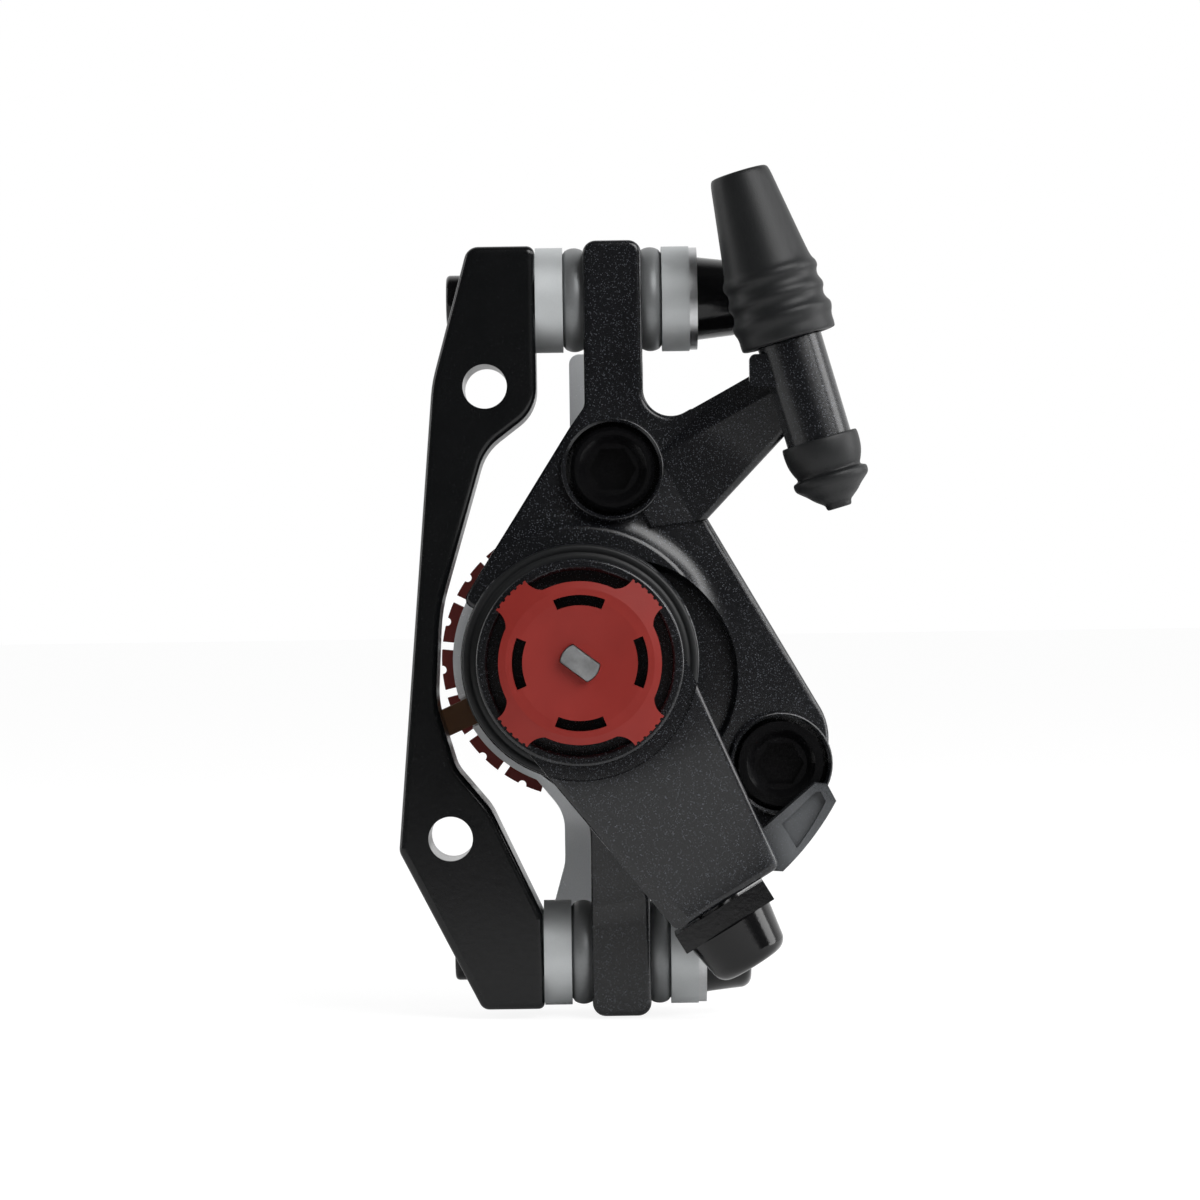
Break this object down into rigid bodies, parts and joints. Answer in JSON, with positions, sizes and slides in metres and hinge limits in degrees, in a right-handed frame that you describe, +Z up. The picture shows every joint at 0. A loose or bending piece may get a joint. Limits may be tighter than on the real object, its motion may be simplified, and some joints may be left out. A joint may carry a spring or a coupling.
{
  "type": "bicycle disc brake caliper",
  "caption": "Cable pulled bicycle disc brake caliper with ball and ramp drive, red pad knobs and a bracket for the frame's two tab holes.",
  "frame": {"origin": "midway between the bracket's two frame holes, on its flat outboard face", "axes": "+Z up along the bracket, +Y inboard towards the wheel, +X from the bracket to the cable stop"},
  "size_m": [0.0531, 0.0497, 0.0949],
  "materials": {
    "bracket_black": "semi-gloss black paint",
    "housing_charcoal": "charcoal metallic paint with a fine sparkle",
    "housing_inner": "charcoal metallic paint, bare blasted parting face",
    "bolt_black": "glossy black coating",
    "steel": "turned steel",
    "washer_silver": "bead blasted",
    "washer_grey": "smooth satin grey",
    "rubber": "matte black",
    "spring_steel": "drawn wire and sheet",
    "hard_steel": "hardened and ground",
    "cage_plastic": "moulded black",
    "ball_steel": "polished",
    "backing_brown": "brown oxide",
    "friction": "sintered compound, rough",
    "red_plastic": "satin moulded red",
    "red_plastic_deep": "satin moulded red",
    "barrel_black": "black anodised"
  },
  "bodies": {
    "caliper": {"adapter_bracket": "bracket_black", "outer_housing": "housing_charcoal", "inner_housing": "housing_inner", "body_bolts": "bolt_black", "mount_bolts": "bolt_black", "flat_washers": "steel", "cup_washers": "washer_silver", "ball_washers": "washer_grey", "dust_seal": "rubber", "thrust_washer": "steel", "return_spring": "spring_steel", "lower_boot": "rubber", "pad_spring": "spring_steel"},
    "arm": {"actuator_arm": "housing_charcoal", "arm_nut": "steel", "cable_plate": "bolt_black", "pinch_bolt": "bolt_black", "drive_cam": "hard_steel"},
    "cage": {"ball_cage": "cage_plastic"},
    "balls": {"ramp_balls": "ball_steel"},
    "cam": {"driven_cam": "hard_steel"},
    "screw": {"foot_screw": "steel"},
    "outboard_pad": {"outer_foot": "steel", "outer_backing_plate": "backing_brown", "outer_friction_pad": "friction"},
    "outboard_knob": {"outer_knob": "red_plastic"},
    "inboard_knob": {"inner_knob": "red_plastic_deep", "inner_screw": "steel"},
    "inboard_pad": {"inner_foot": "steel", "inner_backing_plate": "backing_brown", "inner_friction_pad": "friction"},
    "boot": {"upper_boot": "rubber"},
    "barrel": {"barrel_adjuster": "barrel_black"}
  },
  "joints": [
    {"name": "arm_turn", "type": "hinge", "parent": "caliper", "child": "arm", "pos_m": [0.0126, 0, -0.00568], "axis": [0, -1, 0], "range_deg": [0, 40], "stiffness_Nm_per_rad": 0.4, "deforming": ["return_spring"]},
    {"name": "cage_turn", "type": "hinge", "parent": "caliper", "child": "cage", "pos_m": [0.0126, 0, -0.00568], "axis": [0, -1, 0], "range_deg": [0, 20]},
    {"name": "ball_lift", "type": "slide", "parent": "cage", "child": "balls", "axis": [0, 1, 0], "range_m": [0, 0.00060002]},
    {"name": "cam_feed", "type": "slide", "parent": "caliper", "child": "cam", "axis": [0, 1, 0], "range_m": [0, 0.0012], "deforming": ["pad_spring"]},
    {"name": "outer_knob_turn", "type": "hinge", "parent": "caliper", "child": "outboard_knob", "pos_m": [0.0126, 0, -0.00568], "axis": [0, -1, 0], "range_deg": [0, 216]},
    {"name": "screw_turn", "type": "hinge", "parent": "cam", "child": "screw", "pos_m": [0.0126, 0, -0.00568], "axis": [0, -1, 0], "range_deg": [0, 216]},
    {"name": "outer_pad_feed", "type": "slide", "parent": "cam", "child": "outboard_pad", "axis": [0, 1, 0], "range_m": [0, 0.0006], "deforming": ["pad_spring"]},
    {"name": "inner_knob_turn", "type": "hinge", "parent": "caliper", "child": "inboard_knob", "pos_m": [0.0126, 0, -0.00568], "axis": [0, 1, 0], "range_deg": [0, 216]},
    {"name": "inner_pad_feed", "type": "slide", "parent": "caliper", "child": "inboard_pad", "axis": [0, -1, 0], "range_m": [0, 0.0006], "deforming": ["pad_spring"]},
    {"name": "boot_lift", "type": "slide", "parent": "caliper", "child": "boot", "axis": [-0.2756, 0, 0.9613], "range_m": [0, 0.004]},
    {"name": "barrel_turn", "type": "hinge", "parent": "boot", "child": "barrel", "pos_m": [0.03636, -0.006, 0.02967], "axis": [-0.2756, 0, 0.9613], "range_deg": [0, 1440]}
  ],
  "couplings": [
    {"joint": "cage_turn", "follows": "arm_turn", "ratio": 0.5},
    {"joint": "ball_lift", "follows": "arm_turn", "m_per_rad": 0.00085944},
    {"joint": "cam_feed", "follows": "arm_turn", "m_per_rad": 0.0017189},
    {"joint": "outer_knob_turn", "follows": "outer_pad_feed", "rad_per_m": 6283.2},
    {"joint": "screw_turn", "follows": "outer_pad_feed", "rad_per_m": 6283.2},
    {"joint": "inner_knob_turn", "follows": "inner_pad_feed", "rad_per_m": 6283.2},
    {"joint": "barrel_turn", "follows": "boot_lift", "rad_per_m": 6283.2}
  ]
}
